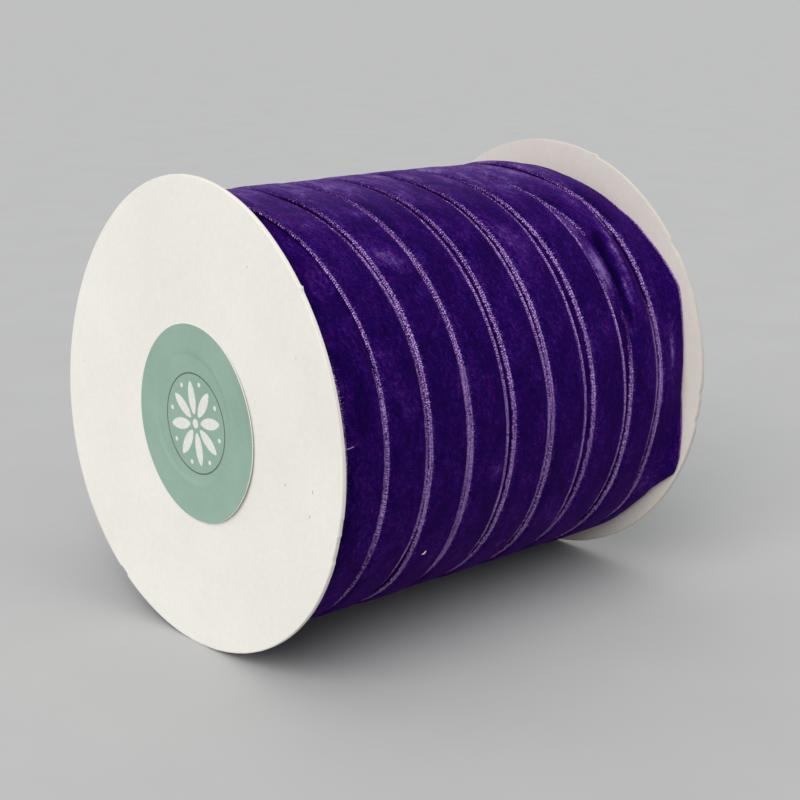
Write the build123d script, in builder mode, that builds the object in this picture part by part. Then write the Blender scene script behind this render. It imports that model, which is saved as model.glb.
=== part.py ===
from build123d import *
import math
import os

os.makedirs("parts", exist_ok=True)

# A narrow velvet ribbon wound on a white cardboard spool that lies on the rims
# of its two flanges.  +X runs along the spool's axis from the labelled front
# flange to the rear flange, +Z is up, and the origin is the middle of the
# footprint, on the surface that the rims rest on.  Millimetres.

# ---- driving dimensions ---------------------------------------------------
FLANGE_D = 90.0          # flange diameter
BOARD_T = 0.9            # thickness of the flange board
BETWEEN = 91.5           # clear length between the two flanges
HOLE_D = 25.4            # hole through the flanges and the tube's inside (1 in)
TUBE_WALL = 2.0          # spiral-wound paper tube wall
RIM_ROUND = 0.12         # soft die-cut edge of the board

BEAD = 1.3               # leg of the glue fillet between tube and flange

LABEL_D = 38.0           # round sticker over the front hole (1 1/2 in)
LABEL_T = 0.15
LABEL_DY = -1.2          # the sticker is not quite central on the flange
LABEL_DZ = -0.85

RIBBON_W = 10.0          # ribbon width (3/8 in class)
RIBBON_T = 0.95          # one layer of velvet, pile lightly pressed
PITCH = 10.15            # advance of the ribbon in one turn
TURNS = 9                # turns side by side in a layer
PACK_R = 41.8            # outside radius of the wound ribbon
END_GAP = 0.1            # ribbon to flange

# Angles run from straight up towards -Y, down that side and round underneath.
FIRST_DEG = 70.0         # where the last layer's first turn leaves the flange
LAP_DEG = 71.5           # where the ribbon has stepped up over its last turn
ROOT_DEG = 240.0         # where the free end lifts from the pack
TIP_DEG = 300.0          # where the ribbon is cut
ROOT_GAP = 0.6           # slit between the fixed lap and the free end, degrees

TAPE_T = 0.1             # clear tape on the free end, and at the start
TAPE_W = 8.0

# ---- derived --------------------------------------------------------------
R_FLANGE = FLANGE_D / 2
R_HOLE = HOLE_D / 2
R_TUBE = R_HOLE + TUBE_WALL
LENGTH = LABEL_T + BETWEEN + 2 * BOARD_T
X_LABEL = -LENGTH / 2                 # outer face of the sticker
X_FRONT = X_LABEL + LABEL_T           # outer face of the front flange
X_IN_F = X_FRONT + BOARD_T            # inner face of the front flange
X_IN_R = X_IN_F + BETWEEN             # inner face of the rear flange
X_REAR = X_IN_R + BOARD_T             # outer face of the rear flange
ZC = R_FLANGE                         # height of the axis
R_TOP_IN = PACK_R - RIBBON_T          # underside of the last layer

AXIS = Axis((0, 0, ZC), (1, 0, 0))


def disc_plane(x):
    """A plane across the spool's axis at x: local X is +Y, local Y is +Z."""
    return Plane(origin=(x, 0, ZC), x_dir=(0, 1, 0), z_dir=(1, 0, 0))


# ---- the two flanges: die-cut board with a central hole --------------------
def rim_edges(part):
    return part.edges().filter_by(GeomType.CIRCLE).filter_by(
        lambda e: abs(e.radius - R_FLANGE) < 0.01
    )


with BuildPart() as front_flange:
    with BuildSketch(disc_plane(X_FRONT)):
        Circle(R_FLANGE)
        Circle(R_HOLE, mode=Mode.SUBTRACT)
    extrude(amount=BOARD_T)
    chamfer(rim_edges(front_flange), RIM_ROUND)
front_flange.part.label = "front_flange"
export_step(front_flange.part, "parts/front_flange.step")

with BuildPart() as rear_flange:
    with BuildSketch(disc_plane(X_IN_R)):
        Circle(R_FLANGE)
        Circle(R_HOLE, mode=Mode.SUBTRACT)
    extrude(amount=BOARD_T)
    chamfer(rim_edges(rear_flange), RIM_ROUND)
rear_flange.part.label = "rear_flange"
export_step(rear_flange.part, "parts/rear_flange.step")

# ---- the core: a paper tube butted between the flanges ---------------------
with BuildPart() as core_tube:
    with BuildSketch(disc_plane(X_IN_F)):
        Circle(R_TUBE)
        Circle(R_HOLE, mode=Mode.SUBTRACT)
    extrude(amount=BETWEEN)
core_tube.part.label = "core_tube"
export_step(core_tube.part, "parts/core_tube.step")

# ---- glue fillets that hold the tube to the flanges ------------------------
with BuildPart() as front_glue_bead:
    with BuildSketch(Plane.XZ):
        with BuildLine():
            Polyline(
                (X_IN_F, ZC + R_TUBE),
                (X_IN_F + BEAD, ZC + R_TUBE),
                (X_IN_F + 0.42 * BEAD, ZC + R_TUBE + 0.42 * BEAD),
                (X_IN_F, ZC + R_TUBE + BEAD),
                close=True,
            )
        make_face()
    revolve(axis=AXIS)
front_glue_bead.part.label = "front_glue_bead"
export_step(front_glue_bead.part, "parts/front_glue_bead.step")

with BuildPart() as rear_glue_bead:
    with BuildSketch(Plane.XZ):
        with BuildLine():
            Polyline(
                (X_IN_R, ZC + R_TUBE),
                (X_IN_R - BEAD, ZC + R_TUBE),
                (X_IN_R - 0.42 * BEAD, ZC + R_TUBE + 0.42 * BEAD),
                (X_IN_R, ZC + R_TUBE + BEAD),
                close=True,
            )
        make_face()
    revolve(axis=AXIS)
rear_glue_bead.part.label = "rear_glue_bead"
export_step(rear_glue_bead.part, "parts/rear_glue_bead.step")

# ---- the round sticker that closes the front hole --------------------------
with BuildPart() as front_label:
    with BuildSketch(disc_plane(X_LABEL)):
        with Locations((LABEL_DY, LABEL_DZ)):
            Circle(LABEL_D / 2)
    extrude(amount=LABEL_T)
front_label.part.label = "front_label"
export_step(front_label.part, "parts/front_label.step")

# ---- tape that holds the ribbon's inner end on the tube --------------------
R_START = R_TUBE
with BuildPart() as start_tape:
    with BuildSketch(disc_plane(X_IN_R - 14.0)):
        with BuildLine():
            a0, a1 = 60.0, 125.0
            ro = R_START + TAPE_T
            o = CenterArc((0, 0), ro, a0, a1 - a0)
            i = CenterArc((0, 0), R_START, a0, a1 - a0)
            Line(o @ 0, i @ 0)
            Line(o @ 1, i @ 1)
        make_face()
    extrude(amount=12.0)
start_tape.part.label = "start_tape"
export_step(start_tape.part, "parts/start_tape.step")

# ---- the ribbon's buried layers: one closed body round the tube ------------
R_BURIED = R_START + TAPE_T + 0.05
CUT = BEAD + 0.1
with BuildPart() as ribbon_inner_layers:
    with BuildSketch(Plane.XZ):
        with BuildLine():
            Polyline(
                (X_IN_F + END_GAP, ZC + R_BURIED + CUT),
                (X_IN_F + END_GAP + CUT, ZC + R_BURIED),
                (X_IN_R - END_GAP - CUT, ZC + R_BURIED),
                (X_IN_R - END_GAP, ZC + R_BURIED + CUT),
                (X_IN_R - END_GAP, ZC + R_TOP_IN - 0.1),
                (X_IN_F + END_GAP, ZC + R_TOP_IN - 0.1),
                close=True,
            )
        make_face()
    revolve(axis=AXIS)
ribbon_inner_layers.part.label = "ribbon_inner_layers"
export_step(ribbon_inner_layers.part, "parts/ribbon_inner_layers.step")

# ---- the last layer: one strip that winds round the pack turn by turn ------
# It leaves the front flange, moves towards the rear flange by one pitch in
# each turn, and comes square against the rear flange in its last turn.
STRIP_W = RIBBON_W - 0.1
STRIP_T = RIBBON_T - 0.05
STRIP_R = PACK_R - 0.025 - STRIP_T / 2                # middle of its thickness
X_FIRST = X_IN_F + END_GAP + 0.1 + STRIP_W / 2        # middle of the first turn
X_LAST = X_IN_R - END_GAP - 0.1 - STRIP_W / 2         # middle of the last turn
STRIP_TURNS = (X_LAST - X_FIRST) / PITCH

coil = Helix(
    pitch=PITCH,
    height=PITCH * STRIP_TURNS,
    radius=STRIP_R,
    center=(X_FIRST, 0, ZC),
    direction=(1, 0, 0),
).rotate(AXIS, FIRST_DEG)
with BuildPart() as ribbon_top_layer:
    with BuildSketch(Plane(origin=coil @ 0, x_dir=(1, 0, 0), z_dir=coil % 0)):
        Rectangle(STRIP_W, STRIP_T)
    sweep(path=coil, is_frenet=True)
ribbon_top_layer.part.label = "ribbon_top_layer"
export_step(ribbon_top_layer.part, "parts/ribbon_top_layer.step")


# ---- the last lap, the free end and its tape --------------------------------
def lap_plane(x):
    """Across the axis at x, with local X straight up and local Y towards -Y."""
    return Plane(origin=(x, 0, ZC), x_dir=(0, 0, 1), z_dir=(1, 0, 0))


LAP_IN = PACK_R + 0.1                                 # over the last turn
LAP_OUT = LAP_IN + STRIP_T
R_TAPE = LAP_OUT + 0.02

with BuildPart() as ribbon_last_lap:
    with BuildSketch(lap_plane(X_LAST - STRIP_W / 2)):
        with BuildLine():
            o = CenterArc((0, 0), LAP_OUT, LAP_DEG, ROOT_DEG - ROOT_GAP - LAP_DEG)
            i = CenterArc((0, 0), LAP_IN, LAP_DEG, ROOT_DEG - ROOT_GAP - LAP_DEG)
            Line(o @ 0, i @ 0)
            Line(o @ 1, i @ 1)
        make_face()
    extrude(amount=STRIP_W)
ribbon_last_lap.part.label = "ribbon_last_lap"
export_step(ribbon_last_lap.part, "parts/ribbon_last_lap.step")

with BuildPart() as ribbon_tail:
    with BuildSketch(lap_plane(X_LAST - STRIP_W / 2)):
        with BuildLine():
            o = CenterArc((0, 0), LAP_OUT, ROOT_DEG, TIP_DEG - ROOT_DEG)
            i = CenterArc((0, 0), LAP_IN, ROOT_DEG, TIP_DEG - ROOT_DEG)
            Line(o @ 0, i @ 0)
            Line(o @ 1, i @ 1)
        make_face()
    extrude(amount=STRIP_W)
ribbon_tail.part.label = "ribbon_tail"
export_step(ribbon_tail.part, "parts/ribbon_tail.step")

TAPE_OVER = 9.0                                       # degrees on the free end
TAPE_PAST = 11.0                                      # degrees past the cut
with BuildPart() as end_tape:
    with BuildSketch(lap_plane(X_LAST - TAPE_W / 2)):
        with BuildLine():
            o = CenterArc((0, 0), R_TAPE + TAPE_T, TIP_DEG - TAPE_OVER, TAPE_OVER + TAPE_PAST)
            i = CenterArc((0, 0), R_TAPE, TIP_DEG - TAPE_OVER, TAPE_OVER + TAPE_PAST)
            Line(o @ 0, i @ 0)
            Line(o @ 1, i @ 1)
        make_face()
    extrude(amount=TAPE_W)
end_tape.part.label = "end_tape"
export_step(end_tape.part, "parts/end_tape.step")

# The free end turns about the line where it leaves the pack, along -X, on the
# ribbon's outer face: 0 is taped down, and it swings out past square.
a = math.radians(ROOT_DEG - ROOT_GAP / 2)
print("lift axis at", (X_LAST, -LAP_OUT * math.sin(a), ZC + LAP_OUT * math.cos(a)))
print("strip volume", ribbon_top_layer.part.volume, STRIP_W * STRIP_T * coil.length)
print("axial: label", X_LABEL, "front", X_FRONT, X_IN_F, "rear", X_IN_R, X_REAR)
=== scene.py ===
import math

import bpy
import numpy as np
from mathutils import Matrix, Vector


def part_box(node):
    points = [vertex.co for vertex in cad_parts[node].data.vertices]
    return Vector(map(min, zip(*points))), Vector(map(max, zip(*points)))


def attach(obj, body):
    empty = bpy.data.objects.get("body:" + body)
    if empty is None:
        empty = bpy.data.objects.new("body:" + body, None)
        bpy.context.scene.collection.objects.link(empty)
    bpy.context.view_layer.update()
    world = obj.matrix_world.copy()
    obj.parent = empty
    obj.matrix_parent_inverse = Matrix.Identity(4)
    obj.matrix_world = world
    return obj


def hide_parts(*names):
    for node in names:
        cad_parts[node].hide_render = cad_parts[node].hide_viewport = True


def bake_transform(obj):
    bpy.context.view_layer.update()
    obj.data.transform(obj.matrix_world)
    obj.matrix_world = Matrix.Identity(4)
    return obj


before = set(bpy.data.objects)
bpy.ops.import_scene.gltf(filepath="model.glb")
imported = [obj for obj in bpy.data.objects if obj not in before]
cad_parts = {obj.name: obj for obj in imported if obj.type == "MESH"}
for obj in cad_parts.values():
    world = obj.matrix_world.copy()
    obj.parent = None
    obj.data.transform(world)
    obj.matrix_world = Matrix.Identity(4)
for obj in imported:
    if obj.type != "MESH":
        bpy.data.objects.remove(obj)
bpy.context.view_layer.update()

MM = 0.001
RAD = math.pi / 180

# ---------------------------------------------------------------- positions
f_lo, f_hi = [np.array(p, float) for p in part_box("front_flange")]
r_lo, r_hi = [np.array(p, float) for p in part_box("rear_flange")]
l_lo, l_hi = [np.array(p, float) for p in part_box("front_label")]
XF, XIF, XIR, XR = f_lo[0], f_hi[0], r_lo[0], r_hi[0]
R = 45 * MM
ZC = 45 * MM
R_HOLE = 12.7 * MM


def place(x, phi, r):
    """Points at x along the axis, at angle phi (degrees, from straight up towards -Y) and radius r."""
    a = np.asarray(phi, float) * RAD
    x, r = np.asarray(x, float), np.asarray(r, float)
    x, a, r = np.broadcast_arrays(x, a, r)
    return np.stack([x, -r * np.sin(a), ZC + r * np.cos(a)], -1)


def along(s):
    """Distance from the front flange's outer face, in flange radii, to x."""
    return XF + np.asarray(s, float) * R


def smooth(t):
    t = np.clip(t, 0, 1)
    return t * t * (3 - 2 * t)


# ---------------------------------------------------------------- noise
_T = np.random.default_rng(11).random(4096)


def vnoise(p, scale, seed=0):
    """Smooth value noise from -1 to 1; p is (..., 3) in metres, scale is the cell size in metres."""
    q = np.asarray(p, float) / scale + 1000.0 + seed * 17.31
    i = np.floor(q).astype(np.int64)
    f = q - i
    f = f * f * (3 - 2 * f)
    out = np.zeros(q.shape[:-1])
    for dx in (0, 1):
        for dy in (0, 1):
            for dz in (0, 1):
                h = (
                    (i[..., 0] + dx) * 73856093
                    ^ (i[..., 1] + dy) * 19349663
                    ^ (i[..., 2] + dz) * 83492791
                    ^ (seed * 2654435)
                ) & 4095
                w = (
                    (f[..., 0] if dx else 1 - f[..., 0])
                    * (f[..., 1] if dy else 1 - f[..., 1])
                    * (f[..., 2] if dz else 1 - f[..., 2])
                )
                out += _T[h] * w
    return out * 2 - 1


def fbm(p, scale, octaves=3, seed=0):
    return sum(
        vnoise(p, scale / 2**k, seed + k) * 0.5**k for k in range(octaves)
    ) / sum(0.5**k for k in range(octaves))


def bell(x, m, s):
    return np.exp(-0.5 * ((np.asarray(x, float) - m) / s) ** 2)


# ---------------------------------------------------------------- meshes
def make(name, verts, faces, smooth_faces=True, uvs=None, attrs=None, mats=(), face_mat=None):
    """A mesh object in the row frame. faces is a list of loops or an (n, 4) array."""
    me = bpy.data.meshes.new(name)
    verts = np.asarray(verts, float).reshape(-1, 3)
    if isinstance(faces, np.ndarray):
        n = len(faces)
        me.vertices.add(len(verts))
        me.vertices.foreach_set("co", verts.astype(np.float32).ravel())
        me.loops.add(faces.size)
        me.loops.foreach_set("vertex_index", faces.astype(np.int32).ravel())
        me.polygons.add(n)
        me.polygons.foreach_set("loop_start", np.arange(n, dtype=np.int32) * faces.shape[1])
        me.update(calc_edges=True)
    else:
        me.from_pydata([tuple(v) for v in verts], [], [tuple(int(i) for i in f) for f in faces])
        me.update()
    for m in mats:
        me.materials.append(m)
    if face_mat is not None:
        me.polygons.foreach_set("material_index", np.asarray(face_mat, np.int32))
    if uvs is not None:
        layer = me.uv_layers.new(name="strip")
        idx = np.zeros(len(me.loops), np.int32)
        me.loops.foreach_get("vertex_index", idx)
        layer.data.foreach_set("uv", np.asarray(uvs, np.float32)[idx].ravel())
    for k, v in (attrs or {}).items():
        a = me.attributes.new(k, "FLOAT", "POINT")
        a.data.foreach_set("value", np.asarray(v, np.float32).ravel())
    me.polygons.foreach_set("use_smooth", np.full(len(me.polygons), smooth_faces))
    me.validate()
    me.update()
    o = bpy.data.objects.new(name, me)
    bpy.context.scene.collection.objects.link(o)
    return o


def grid_faces(rows, cols, wrap_rows=False, wrap_cols=False, flip=False):
    i = np.arange(rows if wrap_rows else rows - 1)
    j = np.arange(cols if wrap_cols else cols - 1)
    I, J = np.meshgrid(i, j, indexing="ij")
    I2, J2 = (I + 1) % rows, (J + 1) % cols
    f = np.stack([I * cols + J, I * cols + J2, I2 * cols + J2, I2 * cols + J], -1).reshape(-1, 4)
    return f[:, ::-1] if flip else f


# ---------------------------------------------------------------- materials
def material(name):
    m = bpy.data.materials.new(name)
    m.use_nodes = True
    t = m.node_tree
    return m, t, t.nodes["Principled BSDF"], t.nodes["Material Output"]


def node(t, kind, **kw):
    n = t.nodes.new(kind)
    for k, v in kw.items():
        if k in n.inputs.keys() if hasattr(n.inputs, "keys") else False:
            n.inputs[k].default_value = v
        else:
            setattr(n, k, v)
    return n


def math_node(t, op, a, b=None, clamp=False):
    n = t.nodes.new("ShaderNodeMath")
    n.operation = op
    n.use_clamp = clamp
    for i, v in enumerate((a, b)):
        if v is None:
            continue
        if isinstance(v, (int, float)):
            n.inputs[i].default_value = v
        else:
            t.links.new(v, n.inputs[i])
    return n.outputs[0]


def ramp(t, fac, stops):
    n = t.nodes.new("ShaderNodeValToRGB")
    e = n.color_ramp.elements
    while len(e) > 1:
        e.remove(e[-1])
    e[0].position, e[0].color = stops[0][0], (*stops[0][1], 1)
    for p, c in stops[1:]:
        k = e.new(p)
        k.color = (*c, 1)
    t.links.new(fac, n.inputs[0])
    return n.outputs[0]


def noise_tex(t, vec, scale, detail=3.0, rough=0.55, distortion=0.0):
    n = t.nodes.new("ShaderNodeTexNoise")
    n.inputs["Scale"].default_value = scale
    n.inputs["Detail"].default_value = detail
    n.inputs["Roughness"].default_value = rough
    n.inputs["Distortion"].default_value = distortion
    t.links.new(vec, n.inputs["Vector"])
    return n.outputs["Fac"]


def mapping(t, vec, scale=(1, 1, 1), rot=(0, 0, 0), loc=(0, 0, 0)):
    n = t.nodes.new("ShaderNodeMapping")
    n.inputs["Scale"].default_value = scale
    n.inputs["Rotation"].default_value = rot
    n.inputs["Location"].default_value = loc
    t.links.new(vec, n.inputs["Vector"])
    return n.outputs[0]


def object_coord(t):
    return t.nodes.new("ShaderNodeTexCoord").outputs["Object"]


def strip_uv(t):
    n = t.nodes.new("ShaderNodeUVMap")
    n.uv_map = "strip"
    return n.outputs[0]


def attribute(t, name):
    n = t.nodes.new("ShaderNodeAttribute")
    n.attribute_name = name
    return n.outputs["Fac"]


def bump(t, bsdf, height, strength, distance, after=None):
    n = t.nodes.new("ShaderNodeBump")
    n.inputs["Strength"].default_value = strength
    n.inputs["Distance"].default_value = distance
    t.links.new(height, n.inputs["Height"])
    if after is not None:
        t.links.new(after, n.inputs["Normal"])
    if bsdf is not None:
        t.links.new(n.outputs[0], bsdf.inputs["Normal"])
    return n.outputs[0]


def mix_color(t, fac, a, b):
    n = t.nodes.new("ShaderNodeMix")
    n.data_type = "RGBA"
    for sock, v in ((n.inputs["Factor"], fac), (n.inputs["A"], a), (n.inputs["B"], b)):
        if isinstance(v, (int, float)):
            sock.default_value = v
        elif isinstance(v, tuple):
            sock.default_value = (*v, 1)
        else:
            t.links.new(v, sock)
    return n.outputs["Result"]


def sub(t, a, b, k=1.0, clamp=False):
    return math_node(t, "MULTIPLY", math_node(t, "SUBTRACT", a, b), k, clamp)


def add(t, *terms):
    out = terms[0]
    for x in terms[1:]:
        out = math_node(t, "ADD", out, x)
    return out


def pile(t, uv, tone, lift):
    """Crushed silk pile: colour, and the heights of its tufts. tone carries crush marks together with painted light and
    shade; lift is painted light over the top of the pack.
    """
    big = noise_tex(t, mapping(t, uv, (0.20, 0.10, 1)), 1.0, 5.0, 0.66, 1.1)
    mid = noise_tex(t, mapping(t, uv, (1.3, 0.95, 1)), 1.0, 4.0, 0.66, 0.4)
    hue = noise_tex(t, mapping(t, uv, (0.55, 0.33, 1), (0, 0, 0.4), (7, 3, 0)), 1.0, 4.0, 0.62, 0.8)
    fine = noise_tex(t, mapping(t, uv, (2.4, 5.2, 1)), 1.0, 2.0, 0.65)
    f = sub(t, big, 0.5, 0.9)
    # painted light: over the top of the pack the broad mottling is drawn stronger, scaled by lift
    f = add(t, f, math_node(t, "MULTIPLY", sub(t, big, 0.47, 1.25), lift))
    f = add(t, f, sub(t, mid, 0.5, 0.95), sub(t, fine, 0.5, 0.95), math_node(t, "MULTIPLY", tone, 0.42))
    f = math_node(t, "ADD", f, 0.34, clamp=True)
    red = ramp(t, f, [(0.0, (0.0030, 0.0003, 0.021)), (0.33, (0.0135, 0.0006, 0.075)), (0.47, (0.033, 0.0024, 0.098)), (0.60, (0.053, 0.0100, 0.132)), (0.80, (0.116, 0.058, 0.205)), (1.0, (0.21, 0.130, 0.34))])
    blue = ramp(t, f, [(0.0, (0.0020, 0.0003, 0.020)), (0.33, (0.0070, 0.0005, 0.071)), (0.60, (0.030, 0.0085, 0.132)), (0.80, (0.086, 0.050, 0.205)), (1.0, (0.18, 0.120, 0.35))])
    out = mix_color(t, sub(t, hue, 0.38, 4.0, True), blue, red)
    if lift != 0.0:
        # a greyer painted sheen over the top of the pack, where lift is high
        painted_top_sheen = math_node(t, "MULTIPLY", math_node(t, "MULTIPLY", big, 0.75), lift, True)
        out = mix_color(t, painted_top_sheen, out, (0.113, 0.076, 0.215))
    return out, mid, fine


def velvet_material(name="velvet"):
    m, t, b, _ = material(name)
    uv = strip_uv(t)
    c, mid, fine = pile(t, uv, attribute(t, "tone"), 0.0)
    t.links.new(c, b.inputs["Base Color"])
    b.inputs["Roughness"].default_value = 0.92
    b.inputs["Specular IOR Level"].default_value = 0.015
    b.inputs["Sheen Weight"].default_value = 0.10
    b.inputs["Sheen Roughness"].default_value = 0.5
    b.inputs["Sheen Tint"].default_value = (0.50, 0.09, 0.88, 1)
    n1 = bump(t, None, mid, 0.4, 0.25 * MM)
    bump(t, b, fine, 0.5, 0.10 * MM, n1)
    return m


def ribbon_material(name="velvet_ribbon"):
    """Velvet pile across the middle, a flat woven selvedge along each side. The strip's map is in mm: u across, v along."""
    m, t, b, _ = material(name)
    uv = strip_uv(t)
    sep = t.nodes.new("ShaderNodeSeparateXYZ")
    t.links.new(uv, sep.inputs[0])
    u, v = sep.outputs[0], sep.outputs[1]
    au = math_node(t, "MAXIMUM", math_node(t, "MULTIPLY", u, -1.0), math_node(t, "ADD", u, 0.14))
    # tone carries crush marks and painted light and shade; lift is painted light over the top of the pack
    tone = attribute(t, "tone")
    velvet, mid, fine = pile(t, uv, tone, attribute(t, "lift"))
    # the selvedge: three cords side by side, crossed by slanting picks
    wob = noise_tex(t, mapping(t, uv, (2.2, 1.6, 1)), 1.0, 3.0, 0.6)
    row = math_node(t, "PINGPONG", sub(t, au, 4.08), 0.43)
    ph = math_node(t, "MULTIPLY", add(t, v, math_node(t, "MULTIPLY", row, 1.0)), 2 * math.pi / 0.46)
    ph = add(t, ph, math_node(t, "MULTIPLY", wob, 6.0))
    pick = math_node(t, "ADD", math_node(t, "MULTIPLY", math_node(t, "SINE", ph), 0.5), 0.5)
    cord = math_node(t, "SINE", math_node(t, "MULTIPLY", row, math.pi / 0.43))
    grit = noise_tex(t, mapping(t, uv, (2.9, 2.7, 1), (0, 0, 0), (3, 9, 0)), 1.0, 3.0, 0.78)
    wear = noise_tex(t, mapping(t, uv, (0.5, 0.09, 1)), 1.0, 4.0, 0.65)
    body = math_node(t, "MULTIPLY", add(t, math_node(t, "MULTIPLY", pick, 0.75), 0.25), add(t, math_node(t, "MULTIPLY", cord, 0.55), 0.45))
    # the selvedges are darkened by painted shade over the top of the pack and in the eighth turn's gap
    fac = add(t, math_node(t, "MULTIPLY", body, 1.15), sub(t, grit, 0.5, 5.6), sub(t, wear, 0.5, 1.0), math_node(t, "MULTIPLY", attribute(t, "painted_selvedge_shade"), -1.0))
    fac = math_node(t, "ADD", fac, -0.17, clamp=True)
    selv = ramp(t, fac, [(0.0, (0.018, 0.0020, 0.065)), (0.28, (0.080, 0.022, 0.155)), (0.60, (0.212, 0.095, 0.360)), (1.0, (0.62, 0.43, 0.84))])
    # where the pile stops: ragged, with single tufts laid over the selvedge and threads showing through the pile
    rag = noise_tex(t, mapping(t, uv, (2.6, 6.0, 1)), 1.0, 2.0, 0.7)
    edge = math_node(t, "DIVIDE", add(t, sub(t, au, 4.08), sub(t, rag, 0.5, 0.75)), 0.10)
    edge = math_node(t, "MAXIMUM", math_node(t, "MINIMUM", edge, 1.0), 0.0)
    streak = noise_tex(t, mapping(t, uv, (1.5, 5.4, 1), (0, 0, 0.2), (1, 5, 0)), 1.0, 2.5, 0.7, 0.5)
    near = sub(t, au, 3.45, 1.5, True)
    fuzz = math_node(t, "MULTIPLY", math_node(t, "MULTIPLY", sub(t, streak, 0.55, 7.0, True), near), 0.42)
    mask = math_node(t, "MAXIMUM", edge, fuzz)
    t.links.new(mix_color(t, mask, velvet, selv), b.inputs["Base Color"])
    b.inputs["Roughness"].default_value = 0.85
    b.inputs["Specular IOR Level"].default_value = 0.02
    b.inputs["Sheen Weight"].default_value = 0.10
    b.inputs["Sheen Roughness"].default_value = 0.5
    b.inputs["Sheen Tint"].default_value = (0.50, 0.09, 0.88, 1)
    h = add(t, math_node(t, "MULTIPLY", body, edge), math_node(t, "MULTIPLY", fine, 0.9), math_node(t, "MULTIPLY", fuzz, 0.6))
    n1 = bump(t, None, mid, 0.45, 0.28 * MM)
    bump(t, b, h, 0.7, 0.12 * MM, n1)
    return m


def board_material(name, face, edge, is_edge=False):
    """Coated board: face and edge are the colours either side of the middle tone."""
    m, t, b, _ = material(name)
    p = object_coord(t)
    fibres = noise_tex(t, mapping(t, p, (900, 900, 900)), 1.0, 4.0, 0.6)
    cloud = noise_tex(t, mapping(t, p, (45, 45, 45)), 1.0, 6.0, 0.62)
    speck = noise_tex(t, mapping(t, p, (900, 900, 900), (0, 0, 0), (4, 4, 4)), 1.0, 1.0, 0.3)
    f = add(t, math_node(t, "MULTIPLY", cloud, 0.55), math_node(t, "MULTIPLY", fibres, 0.45))
    c = ramp(t, f, [(0.30, edge), (0.70, face)])
    c = mix_color(t, sub(t, speck, 0.775, 8.0, True), c, (0.52, 0.49, 0.41))
    t.links.new(c, b.inputs["Base Color"])
    b.inputs["Roughness"].default_value = 0.85 if is_edge else 0.62
    b.inputs["Specular IOR Level"].default_value = 0.25
    n1 = bump(t, None, cloud, 0.3, 0.15 * MM)
    bump(t, b, fibres, 0.8 if is_edge else 0.3, (0.12 if is_edge else 0.03) * MM, n1)
    return m


def kraft_material():
    m, t, b, _ = material("kraft_tube")
    p = object_coord(t)
    sep = t.nodes.new("ShaderNodeSeparateXYZ")
    t.links.new(p, sep.inputs[0])
    ang = math_node(t, "ARCTAN2", math_node(t, "SUBTRACT", sep.outputs[2], ZC), sep.outputs[1])
    turn = math_node(t, "ADD", math_node(t, "MULTIPLY", sep.outputs[0], 1 / 0.034), math_node(t, "MULTIPLY", ang, 1 / (2 * math.pi)))
    seam = math_node(t, "FRACT", turn)
    line = math_node(t, "LESS_THAN", seam, 0.02)
    fib = noise_tex(t, mapping(t, p, (260, 1500, 1500)), 1.0, 4.0, 0.6)
    c = ramp(t, fib, [(0.3, (0.20, 0.125, 0.065)), (0.55, (0.33, 0.22, 0.125)), (0.8, (0.42, 0.30, 0.18))])
    mix = t.nodes.new("ShaderNodeMix")
    mix.data_type = "RGBA"
    t.links.new(line, mix.inputs["Factor"])
    t.links.new(c, mix.inputs["A"])
    mix.inputs["B"].default_value = (0.11, 0.065, 0.03, 1)
    t.links.new(mix.outputs["Result"], b.inputs["Base Color"])
    b.inputs["Roughness"].default_value = 0.85
    bump(t, b, fib, 0.4, 0.05 * MM)
    return m


def label_material():
    m, t, b, _ = material("sticker_paper")
    p = object_coord(t)
    cloud = noise_tex(t, mapping(t, p, (110, 110, 110)), 1.0, 3.0, 0.55)
    fib = noise_tex(t, mapping(t, p, (1500, 1500, 1500)), 1.0, 3.0, 0.6)
    f = math_node(t, "ADD", math_node(t, "MULTIPLY", cloud, 0.55), math_node(t, "MULTIPLY", fib, 0.45))
    c = ramp(t, f, [(0.3, (0.245, 0.376, 0.300)), (0.5, (0.275, 0.412, 0.334)), (0.72, (0.303, 0.445, 0.362))])
    t.links.new(c, b.inputs["Base Color"])
    b.inputs["Roughness"].default_value = 0.58
    b.inputs["Specular IOR Level"].default_value = 0.35
    bump(t, b, fib, 0.2, 0.02 * MM)
    return m


def print_material(name, lo, hi):
    m, t, b, _ = material(name)
    p = object_coord(t)
    fib = noise_tex(t, mapping(t, p, (1300, 1300, 1300)), 1.0, 3.0, 0.6)
    c = ramp(t, fib, [(0.3, lo), (0.7, hi)])
    t.links.new(c, b.inputs["Base Color"])
    b.inputs["Roughness"].default_value = 0.55
    return m


def glue_material():
    m, t, b, _ = material("glue")
    p = object_coord(t)
    n = noise_tex(t, mapping(t, p, (400, 400, 400)), 1.0, 3.0, 0.55)
    c = ramp(t, n, [(0.3, (0.62, 0.58, 0.46)), (0.7, (0.78, 0.75, 0.64))])
    t.links.new(c, b.inputs["Base Color"])
    b.inputs["Roughness"].default_value = 0.35
    bump(t, b, n, 0.4, 0.1 * MM)
    return m


def tape_material():
    m, t, b, _ = material("clear_tape")
    p = object_coord(t)
    n = noise_tex(t, mapping(t, p, (500, 500, 500)), 1.0, 3.0, 0.55)
    c = ramp(t, n, [(0.3, (0.80, 0.82, 0.82)), (0.7, (0.92, 0.93, 0.92))])
    t.links.new(c, b.inputs["Base Color"])
    b.inputs["Roughness"].default_value = 0.16
    b.inputs["Alpha"].default_value = 0.26
    bump(t, b, n, 0.25, 0.05 * MM)
    return m


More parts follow.
